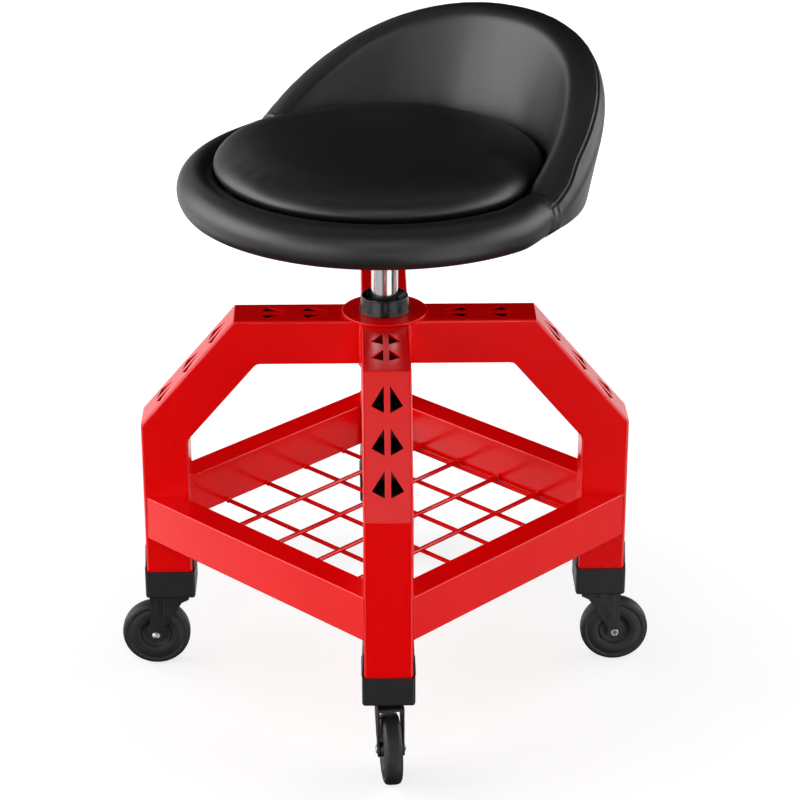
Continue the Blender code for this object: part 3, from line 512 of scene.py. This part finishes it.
def hub_welds():
    """Beads down the corners between the arms, and round the sleeve under them."""
    beads = []
    corner = 0.0255 * math.sqrt(2)
    for seed, degrees in enumerate((0, 90, 180, 270)):
        turn = math.radians(degrees)
        x, y = corner * math.cos(turn), corner * math.sin(turn)
        path = [(x, y, ARM_TOP - 0.002), (x, y, ARM_TOP - TUBE + 0.001)]
        beads.append(weld_bead(f"arm_bead_{seed}", path, ARM_WELD, seed))
    ring = [
        (0.0290 * math.cos(a), 0.0290 * math.sin(a), ARM_TOP - TUBE - 0.0004)
        for a in (2 * math.pi * n / 48 for n in range(49))
    ]
    beads.append(weld_bead("sleeve_bead", ring, SLEEVE_WELD, 9))
    joined_piece("hub_welds", beads, "base", paint)


def grid_welds():
    """Small spot welds that hold the wires' ends to the rails."""
    dots = []
    inner = TRAY_HALF - RAIL_WIDE
    for first, height, along_x in WIRE_LAYERS:
        for number in range(5):
            across = first + number * WIRE_PITCH
            for side in (-1, 1):
                ends = (side * (inner - 0.0035), side * (inner + 0.0002))
                if along_x:
                    path = [(end, across, height) for end in ends]
                else:
                    path = [(across, end, height) for end in ends]
                seed = 20 + len(dots)
                dots.append(weld_bead(f"wire_dot_{seed}", path, WIRE_WELD, seed))
    joined_piece("wire_welds", dots, "base", paint)


def dress_frame():
    for corner in CORNERS:
        # Leg insides are marked for their near-black colour: bare steel with painted shade.
        mark_bare_shaded_inside(refined(f"leg_{corner}", "base", paint, 0.0005))
        refined(f"foot_socket_{corner}", "base", cap_plastic, 0.0007)
    for side in RAIL_ANGLES:
        refined(f"tray_rail_{side}", "base", paint, 0.0007)
    plate = ring_profile(0.0253, 0.0450, HUB_TOP - 0.0025, HUB_TOP)
    add_turned("hub_plate", plate, 128, "base", paint, 0.0006)
    sleeve = ring_profile(0.0253, 0.0285, ARM_TOP - 0.059, ARM_TOP)
    add_turned("hub_sleeve", sleeve, 96, "base", paint, 0.0004)
    rail_welds()
    hub_welds()
    grid_welds()
    wires = frame["nodes"]["tray_grid"]
    wires.data.materials.clear()
    wires.data.materials.append(paint)
    wires.data.shade_smooth()


# ---------------------------------------------------------------- column


def dress_column():
    collar = [
        (0.0145, 0.4330),
        (0.0163, 0.4341),
        (0.0205, 0.4362),
        (0.0232, 0.4374),
        (0.0243, 0.4372),
        (0.0248, 0.4362),
        (0.0250, 0.4340),
        (0.0268, 0.4225),
        (0.0272, 0.4208),
        (0.0230, 0.4208),
        (0.0230, 0.3540),
        (0.0145, 0.3540),
    ]
    add_turned("guide_collar", collar, 128, "base", collar_plastic, 0.0004)
    cylinder = [
        (0.0236, 0.4203),
        (0.0249, 0.4203),
        (0.0249, 0.2232),
        (0.0240, 0.2222),
        (0.0058, 0.2222),
        (0.0058, 0.2249),
        (0.0236, 0.2249),
    ]
    add_turned("gas_cylinder", cylinder, 96, "base", steel, 0.0004)
    tube = [
        (0.0134, 0.5163),
        (0.0140, 0.4740),
        (0.0140, 0.2422),
        (0.0054, 0.2422),
        (0.0054, 0.2620),
        (0.0120, 0.2620),
        (0.0120, 0.5043),
        (0.0043, 0.5043),
        (0.0043, 0.5163),
    ]
    add_turned("pressure_tube", tube, 128, "seat", chromed, 0.0003)


# ---------------------------------------------------------------- casters


def wheel_profile():
    """Half of the wheel, from its bore out to the tread's crown."""
    half = WHEEL_WIDE / 2
    return [
        (0.0034, 0.0113),
        (0.0074, 0.0113),
        (0.0080, 0.0107),
        (0.0084, half - 0.0038),
        (0.0092, half - 0.0044),
        (0.0152, half - 0.0040),
        (0.0165, half - 0.0030),
        (0.0178, half - 0.0004),
        (0.0186, half),
        (0.0290, half),
        (0.0296, half - 0.0005),
        (0.0304, half - 0.0005),
        (0.0310, half),
        (0.0338, half - 0.0002),
        (0.0358, half - 0.0012),
        (0.0369, half - 0.0030),
        (0.0374, half - 0.0055),
    ]


def rivet_profile():
    """The axle rivet from its round head to its hollow, rolled end."""
    return [
        (0, 0.0159),
        (0.0012, 0.0158),
        (0.0026, 0.0154),
        (0.0038, 0.0147),
        (0.0046, 0.0139),
        (0.0047, 0.0137),
        (0.0030, 0.0137),
        (0.0030, -0.0140),
        (0.0041, -0.0140),
        (0.0043, -0.0147),
        (0.0040, -0.0153),
        (0.0033, -0.0156),
        (0.0026, -0.0154),
        (0.0020, -0.0147),
        (0.0018, -0.0140),
        (0.0018, -0.0100),
        (0, -0.0100),
    ]


def add_on_axle(node, profile, steps, place, body, material, closed=True):
    """A CAD node's shape turned again about its caster's axle."""
    mesh = turned_mesh(f"{node}_detailed", profile, steps, place, closed)
    piece = new_object(f"{node}_detailed", mesh, body, material)
    mesh.shade_smooth()
    mesh.set_sharp_from_angle(angle=math.radians(50))
    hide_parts(node)


def dress_casters():
    half = wheel_profile()
    tyre = half + [(r, -z) for r, z in reversed(half)]
    rivet = rivet_profile()
    joints = {joint["name"]: joint for joint in frame["joints"]}
    for corner in CORNERS:
        roll = joints[f"roll_{corner}"]
        across = Vector(roll["axis"]).to_track_quat("Z", "Y").to_matrix().to_4x4()
        hub = Matrix.Translation(roll["pos_m"]) @ across
        wheel, fork = f"wheel_{corner}", f"fork_{corner}"
        add_on_axle(f"caster_wheel_{corner}", tyre, 96, hub, wheel, wheel_black)
        refined(f"caster_fork_{corner}", fork, steel, 0.0004)
        add_on_axle(f"caster_axle_{corner}", rivet, 48, hub, fork, plated, closed=False)


# ---------------------------------------------------------------- seat


SEAT_PLACE = Matrix.Rotation(SEAT_YAW, 4, "Z") @ Matrix.Translation((0, -SEAT_FORWARD, 0))


def seat_side(angle):
    return "left" if angle > 0 else "right"


def back_rise(angle):
    share = min(1.0, abs(angle) / RISE_ENDS[seat_side(angle)])
    return BACK_RISE * (1 - share**BACK_FLATNESS) ** BACK_FALL


def section_outline(angle):
    """Dense outline of the ring's cross-section, from the edge seam over the top and round."""
    seam = SEAM_ANGLES[seat_side(angle)]
    reach = abs(angle)
    rise = back_rise(angle)
    backness = smoothstep((seam - reach) / math.radians(3) * 0.5 + 0.5)
    frontness = smoothstep((reach - seam) / SEAM_EASE)
    radius = BACK_THICK + (ROLL_THICK - BACK_THICK) * frontness
    top_radius = radius + (BACK_TOP_THICK - radius) * smoothstep(rise / 0.05)
    spine = Vector((BACK_LEAN * smoothstep(rise / 0.02), 1)).normalized()
    out = Vector((spine.y, -spine.x))
    foot = Vector((ROLL_RADIUS - 0.0005 + ROLL_SHIFT * frontness, -ROLL_SHIFT * frontness))
    head = foot + Vector((BACK_LEAN * rise, rise))
    edge = EDGE_SEAM + (EDGE_SEAM_END - EDGE_SEAM) * smoothstep((reach - 1.2) / 0.25)
    bulge = 0.005 * backness * math.exp(-(((reach - 1.15) / 0.25) ** 2))

    def rim(turn):
        ridge = 1 + 0.04 * backness * math.exp(-(((turn - edge) / 0.35) ** 2))
        side = bulge * 0.5 * max(0.0, 1 - turn / edge)
        spoke = out * math.cos(turn) + spine * math.sin(turn)
        return head + spoke * top_radius * ridge + out * side

    outline = [rim(edge + (math.pi - edge) * step / 32) for step in range(33)]
    low = math.asin(min(1.0, (BOARD_TOP + foot.y) / radius))
    for step in range(1, 9):
        turn = low * step / 8
        outline.append(foot - (out * math.cos(turn) + spine * math.sin(turn)) * radius)
    outline.append(Vector((BOARD_RADIUS, outline[-1].y)))
    outline.append(Vector((BOARD_RADIUS, ROLL_FLOOR)))
    for step in range(25):
        share = step / 24
        turn = math.radians(-50 + 50 * share)
        point = foot + (out * math.cos(turn) + spine * math.sin(turn)) * radius
        point.y = max(point.y, ROLL_FLOOR)
        point.x += bulge * smoothstep(share * 1.3)
        outline.append(point)
    return outline + [rim(edge * step / 10) for step in range(10)]


def resample(outline, count, gather):
    """Points along a closed outline, closer together near its start."""
    points = np.array([tuple(point) for point in outline] + [tuple(outline[0])])
    steps = np.linalg.norm(np.diff(points, axis=0), axis=1)
    along = np.concatenate([[0], np.cumsum(steps)])
    share = np.arange(count) / count
    share = share - gather * np.sin(2 * np.pi * share) / (2 * np.pi)
    at = share * along[-1]
    return np.stack([np.interp(at, along, points[:, 0]), np.interp(at, along, points[:, 1])], 1)


def ring_angles(count):
    """Angles round the ring, closer together at the two cross seams."""
    fine = np.linspace(-math.pi, math.pi, 4001)
    density = np.ones_like(fine)
    seams = (-SEAM_ANGLES["right"], SEAM_ANGLES["left"])
    for seam in seams:
        density += 5.0 * np.exp(-(((fine - seam) / math.radians(4)) ** 2))
    total = np.concatenate([[0], np.cumsum((density[1:] + density[:-1]) / 2)])
    angles = np.interp(np.arange(count) / count * total[-1], total, fine)
    for seam in seams:
        angles[np.argmin(np.abs(angles - seam))] = seam
    return angles


def seat_rows(angles, count, gather):
    rows = []
    for angle in angles:
        section = resample(section_outline(angle), count, gather)
        rows.append(
            [
                SEAT_PLACE @ Vector((-out * math.sin(angle), out * math.cos(angle), ROLL_Z + up))
                for out, up in section
            ]
        )
    return rows


def eased(mesh, shift, rounds):
    """Evens a shift out between neighbouring vertices."""
    ends = np.array([tuple(edge.vertices) for edge in mesh.edges])
    for _ in range(rounds):
        total = shift.copy()
        count = np.ones(len(shift))
        for here, there in ((0, 1), (1, 0)):
            np.add.at(total, ends[:, here], shift[ends[:, there]])
            np.add.at(count, ends[:, here], 1)
        shift = total / count[:, None]
    return shift


def inflate(piece, held, pressure, cap, rounds):
    """Pumps the cover up with a short cloth simulation, held at its seams and fixings."""
    group = piece.vertex_groups.new(name="held")
    for vertex, weight in held.items():
        group.add([vertex], weight, "REPLACE")
    before = np.array([vertex.co for vertex in piece.data.vertices])
    cloth = piece.modifiers.new("cloth", "CLOTH")
    settings = cloth.settings
    settings.quality = 6
    settings.mass = 0.4
    settings.tension_stiffness = 25
    settings.compression_stiffness = 12
    settings.shear_stiffness = 8
    settings.bending_stiffness = 2.5
    settings.vertex_group_mass = "held"
    settings.pin_stiffness = 1.0
    settings.use_pressure = True
    settings.uniform_pressure_force = pressure
    settings.effector_weights.gravity = 0
    cloth.collision_settings.use_collision = False
    cloth.point_cache.frame_start = 1
    cloth.point_cache.frame_end = CLOTH_FRAMES
    scene = bpy.context.scene
    for number in range(1, CLOTH_FRAMES + 1):
        scene.frame_set(number)
    graph = bpy.context.evaluated_depsgraph_get()
    moved = np.array([vertex.co for vertex in piece.evaluated_get(graph).data.vertices])
    piece.modifiers.remove(cloth)
    scene.frame_set(1)
    shift = eased(piece.data, moved - before, rounds)
    shift[list(held)] = 0
    length = np.linalg.norm(shift, axis=1, keepdims=True)
    limited = cap * np.tanh(length / cap) / np.maximum(length, 1e-9)
    placed = before + shift * limited
    piece.data.vertices.foreach_set("co", placed.astype(np.float32).ravel())
    piece.data.update()


def subdivided(piece, levels):
    modifier = piece.modifiers.new("smooth", "SUBSURF")
    modifier.levels = levels
    modifier.render_levels = levels
    mesh = apply_modifiers(piece)
    piece.vertex_groups.clear()
    mesh.shade_smooth()


def seam_tree(lines):
    """Dense points along the seam lines, to measure distances from."""
    points = []
    for line in lines:
        for start, end in zip(line, line[1:]):
            pieces = max(1, math.ceil((end - start).length / 0.0008))
            points += [start.lerp(end, step / pieces) for step in range(pieces)]
    tree = kdtree.KDTree(len(points))
    for number, point in enumerate(points):
        tree.insert(point, number)
    tree.balance()
    return tree


def sew(mesh, tree, depth, width, pucker):
    """Draws the cover in along the seams, with small puckers beside them."""
    shifts = []
    for vertex in mesh.vertices:
        distance = tree.find(vertex.co)[2]
        groove = -depth * math.exp(-((distance / width) ** 2))
        lip = 0.30 * depth * math.exp(-(((distance - 2.6 * width) / (1.3 * width)) ** 2))
        folds = noise.noise(vertex.co * 95) * math.exp(-distance / 0.011)
        shifts.append(vertex.normal * (groove + lip + pucker * folds))
    for vertex, shift in zip(mesh.vertices, shifts):
        vertex.co += shift
    mesh.update()


def build_ring():
    """The ring's cover: roll in front, back behind, joined at the two cross seams."""
    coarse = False
    angles = ring_angles(150 if coarse else 260)
    count = 56 if coarse else 72
    rows = seat_rows(angles, count, 0.55)
    mesh = grid_mesh("seat_ring_cover", rows, wrap_rows=True)
    ring = new_object("seat_ring_cover", mesh, "seat", hide)
    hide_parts("seat_bolster", "seat_backrest")
    held = {}
    seams = (-SEAM_ANGLES["right"], SEAM_ANGLES["left"])
    seam_rows = [int(np.argmin(np.abs(angles - seam))) for seam in seams]
    for row, angle in enumerate(angles):
        for point in range(count):
            vertex = row * count + point
            z = mesh.vertices[vertex].co.z - ROLL_Z
            across = Vector(mesh.vertices[vertex].co.xy).length
            hidden = z < -0.004 and across < BOARD_RADIUS + 0.012
            on_edge_seam = point == 0 and seams[0] <= angle <= seams[1]
            if hidden or on_edge_seam or row in seam_rows:
                held[vertex] = 1.0
    if not coarse:
        inflate(ring, held, 1.6, 0.0016, 3)
    vertices = [vertex.co.copy() for vertex in ring.data.vertices]
    behind = [row for row, angle in enumerate(angles) if seams[0] <= angle <= seams[1]]
    edge = [vertices[row * count] for row in behind]
    outside, inside = -round(0.3 * count), round(0.5 * count)
    crossings = [
        [vertices[row * count + point % count] for point in range(outside, inside)]
        for row in seam_rows
    ]
    binding = []
    for seam in seams:
        row = int(np.argmin(np.abs(angles - seam + math.copysign(SEAM_SECOND, seam))))
        binding.append([vertices[row * count + point % count] for point in range(outside, 1)])
    subdivided(ring, 1)
    sew(ring.data, seam_tree([edge, *binding]), 0.0013, 0.0009, 0.0004)
    sew(ring.data, seam_tree(crossings), 0.0014, 0.0011, 0.0005)


def cushion_profile():
    """Half of the cushion from the middle of its top to the middle of its underside."""
    return [
        (0.0000, 0.6128),
        (0.0300, 0.6126),
        (0.0600, 0.6119),
        (0.0900, 0.6106),
        (0.1150, 0.6087),
        (0.1320, 0.6064),
        (0.1450, 0.6034),
        (0.1545, 0.5995),
        (0.1612, 0.5945),
        (0.1650, 0.5893),
        (0.1662, 0.5845),
        (0.1645, 0.5790),
        (0.1612, 0.5735),
        (0.1588, 0.5685),
        (0.1572, 0.5640),
        (0.1563, 0.5563),
        (0.1200, 0.5560),
        (0.0600, 0.5560),
        (0.0000, 0.5560),
    ]


def build_cushion():
    """Domed cushion with a puffy edge, drawn down to the board all round."""
    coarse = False
    steps = 96 if coarse else 168
    count = 44 if coarse else 64
    profile = np.array(cushion_profile())
    lengths = np.linalg.norm(np.diff(profile, axis=0), axis=1)
    along = np.concatenate([[0], np.cumsum(lengths)])
    at = np.linspace(0, along[-1], count)
    radii, heights = np.interp(at, along, profile[:, 0]), np.interp(at, along, profile[:, 1])
    rows = []
    for step in range(steps):
        turn = 2 * math.pi * step / steps
        spoke = Vector((math.cos(turn), math.sin(turn), 0))
        front = smoothstep((abs(math.atan2(-spoke.x, spoke.y)) - 1.2) / 0.6)
        row = []
        for out, up in zip(radii, heights):
            puff = smoothstep((up - 0.570) / 0.012) * smoothstep((out - 0.06) / 0.1)
            reach = out + CUSHION_SPREAD * front * puff
            row.append(SEAT_PLACE @ (spoke * reach + Vector((0, 0, up))))
        rows.append(row)
    mesh = grid_mesh("seat_cushion_cover", rows, wrap_rows=True, wrap_points=False)
    merge_points(mesh)
    cushion = new_object("seat_cushion_cover", mesh, "seat", hide)
    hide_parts("seat_cushion")
    held = {vertex.index: 1.0 for vertex in mesh.vertices if vertex.co.z < 0.5745}
    if not coarse:
        inflate(cushion, held, 2.2, 0.0014, 8)
    subdivided(cushion, 1)
    middle = SEAT_PLACE @ Vector((0, 0, 0))
    shifts = []
    for vertex in cushion.data.vertices:
        spoke = vertex.co - middle
        reach = Vector(spoke.xy).length
        turn = math.atan2(spoke.y, spoke.x)
        edge = math.exp(-(((reach - 0.156) / 0.010) ** 2))
        edge *= smoothstep((vertex.co.z - 0.575) / 0.01)
        folds = noise.noise(Vector((math.cos(turn) * 13, math.sin(turn) * 13, reach * 25)))
        fine = noise.noise(Vector((math.cos(turn) * 34, math.sin(turn) * 34, reach * 40)))
        soft = noise.noise(vertex.co * 14) * smoothstep((0.150 - reach) / 0.06)
        top = smoothstep((vertex.co.z - 0.590) / 0.01)
        puckers = edge * (0.0004 * folds + 0.0002 * fine)
        shifts.append(vertex.normal * (puckers + 0.0007 * soft * top))
    for vertex, shift in zip(cushion.data.vertices, shifts):
        vertex.co += shift
    cushion.data.update()


# ---------------------------------------------------------------- kept CAD nodes


def dress_rest():
    """Materials for the CAD nodes that are shown as they are."""
    finishes = {
        "black_steel": steel,
        "black_plastic": cap_plastic,
        "zinc": plated,
        "plywood": ply,
        "black_cloth": lining,
        "chrome": chromed,
        "red_paint": paint,
    }
    slots = {entry["node"]: entry["material_slot"] for entry in frame["record"]["subparts"]}
    for name, node in frame["nodes"].items():
        finish = finishes.get(slots[name])
        if finish and not node.hide_render:
            node.data.materials.clear()
            node.data.materials.append(finish)


# ---------------------------------------------------------------- studio


def add_softbox(name, azimuth, elevation, width, height, radiance):
    """An area light as the object's middle sees it, in degrees from the camera's side."""
    turn, rise = math.radians(azimuth), math.radians(elevation)
    level = RIGHT * math.sin(turn) - AWAY * math.cos(turn)
    direction = level * math.cos(rise) + Vector((0, 0, math.sin(rise)))
    light = bpy.data.lights.new(name, "AREA")
    light.shape = "RECTANGLE"
    light.size = 2 * LIGHT_DISTANCE * math.tan(math.radians(width / 2))
    light.size_y = 2 * LIGHT_DISTANCE * math.tan(math.radians(height / 2))
    light.energy = math.pi * light.size * light.size_y * radiance
    lamp = bpy.data.objects.new(name, light)
    bpy.context.scene.collection.objects.link(lamp)
    lamp.location = LIGHT_MIDDLE + direction * LIGHT_DISTANCE
    lamp.rotation_euler = (-direction).to_track_quat("-Z", "Y").to_euler()


def build_studio():
    flat = [(0, 0), (2, 0), (5, 0)]
    rising = [(6, 0.08), (7, 0.45), (7.8, 1.2), (8.2, 2.2), (8.4, 3.5), (8.5, 9)]
    floor = bpy.data.objects.new("floor", turned_mesh("floor", flat + rising, 96, closed=False))
    floor.location.z = -0.0002
    bpy.context.scene.collection.objects.link(floor)
    floor.data.materials.append(floor_paint())
    # The panels under the floor stand for its own bounce, so it neither blocks nor reflects light
    floor.visible_glossy = False
    floor.visible_diffuse = False
    floor.visible_shadow = False

    add_softbox("left_strip_front", -78, 18, 34, 36, 3.9)
    add_softbox("left_strip_back", -112, 18, 34, 36, 2.7)
    add_softbox("left_bounce_front", -78, -18, 34, 36, 0.5)
    add_softbox("left_bounce_back", -112, -18, 34, 36, 1.2)
    add_softbox("right_strip_front", 78, 18, 34, 36, 2.5)
    add_softbox("right_strip_back", 112, 18, 34, 36, 2.4)
    add_softbox("right_bounce", 110, -18, 50, 36, 0.4)
    add_softbox("front_left_fill", -40, 5, 38, 34, 2.0)
    add_softbox("front_right_fill", 40, 5, 38, 34, 1.3)
    add_softbox("front_left_bounce", -40, -30, 38, 34, 0.5)
    add_softbox("front_right_bounce", 40, -30, 38, 34, 1.5)
    add_softbox("front_strip", 3, -7, 7, 14, 5.0)
    add_softbox("front_top", 0, 40, 38, 34, 1.05)
    add_softbox("back_bounce", 180, -18, 96, 36, 0.95)
    add_softbox("back_left_wall", -148, 20, 32, 36, 0.45)
    add_softbox("ceiling", 180, 80, 60, 30, 0.25)

    world = bpy.data.worlds.new("studio")
    bpy.context.scene.world = world
    world.use_nodes = True
    world.node_tree.nodes["Background"].inputs["Strength"].default_value = 0.01


def build_camera():
    camera = bpy.data.cameras.new("camera")
    camera.lens = LENS
    camera.sensor_width = 36
    camera.clip_end = 60
    eye = bpy.data.objects.new("camera", camera)
    bpy.context.scene.collection.objects.link(eye)
    level = math.cos(VIEW_ELEVATION)
    back = Vector(
        (math.sin(VIEW_AZIMUTH) * level, -math.cos(VIEW_AZIMUTH) * level, math.sin(VIEW_ELEVATION))
    )
    eye.location = VIEW_TARGET + back * VIEW_DISTANCE
    eye.rotation_euler = (-back).to_track_quat("-Z", "Y").to_euler()
    bpy.context.scene.camera = eye


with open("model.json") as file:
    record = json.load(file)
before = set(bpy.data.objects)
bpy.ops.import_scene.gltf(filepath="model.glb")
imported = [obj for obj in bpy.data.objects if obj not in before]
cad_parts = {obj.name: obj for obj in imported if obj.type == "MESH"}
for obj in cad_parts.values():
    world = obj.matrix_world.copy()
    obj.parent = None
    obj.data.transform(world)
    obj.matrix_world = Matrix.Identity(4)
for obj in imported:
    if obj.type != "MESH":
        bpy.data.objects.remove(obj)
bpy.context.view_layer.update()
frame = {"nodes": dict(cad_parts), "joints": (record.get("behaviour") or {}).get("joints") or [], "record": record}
paint = red_paint()
cap_plastic = moulded_plastic("cap_plastic", (0.008, 0.008, 0.0085), 0.46, 0.00006)
collar_plastic = moulded_plastic("collar_plastic", (0.006, 0.006, 0.007), 0.25, 0.00003)
steel = coated_steel()
chromed = chrome()
plated = zinc()
hide = leather()
wheel_black = rubber_wheel()
ply = plywood()
lining = lining_cloth()
dress_frame()
dress_column()
dress_casters()
build_ring()
build_cushion()
dress_rest()
build_studio()
build_camera()
bpy.context.scene.view_settings.view_transform = "Standard"
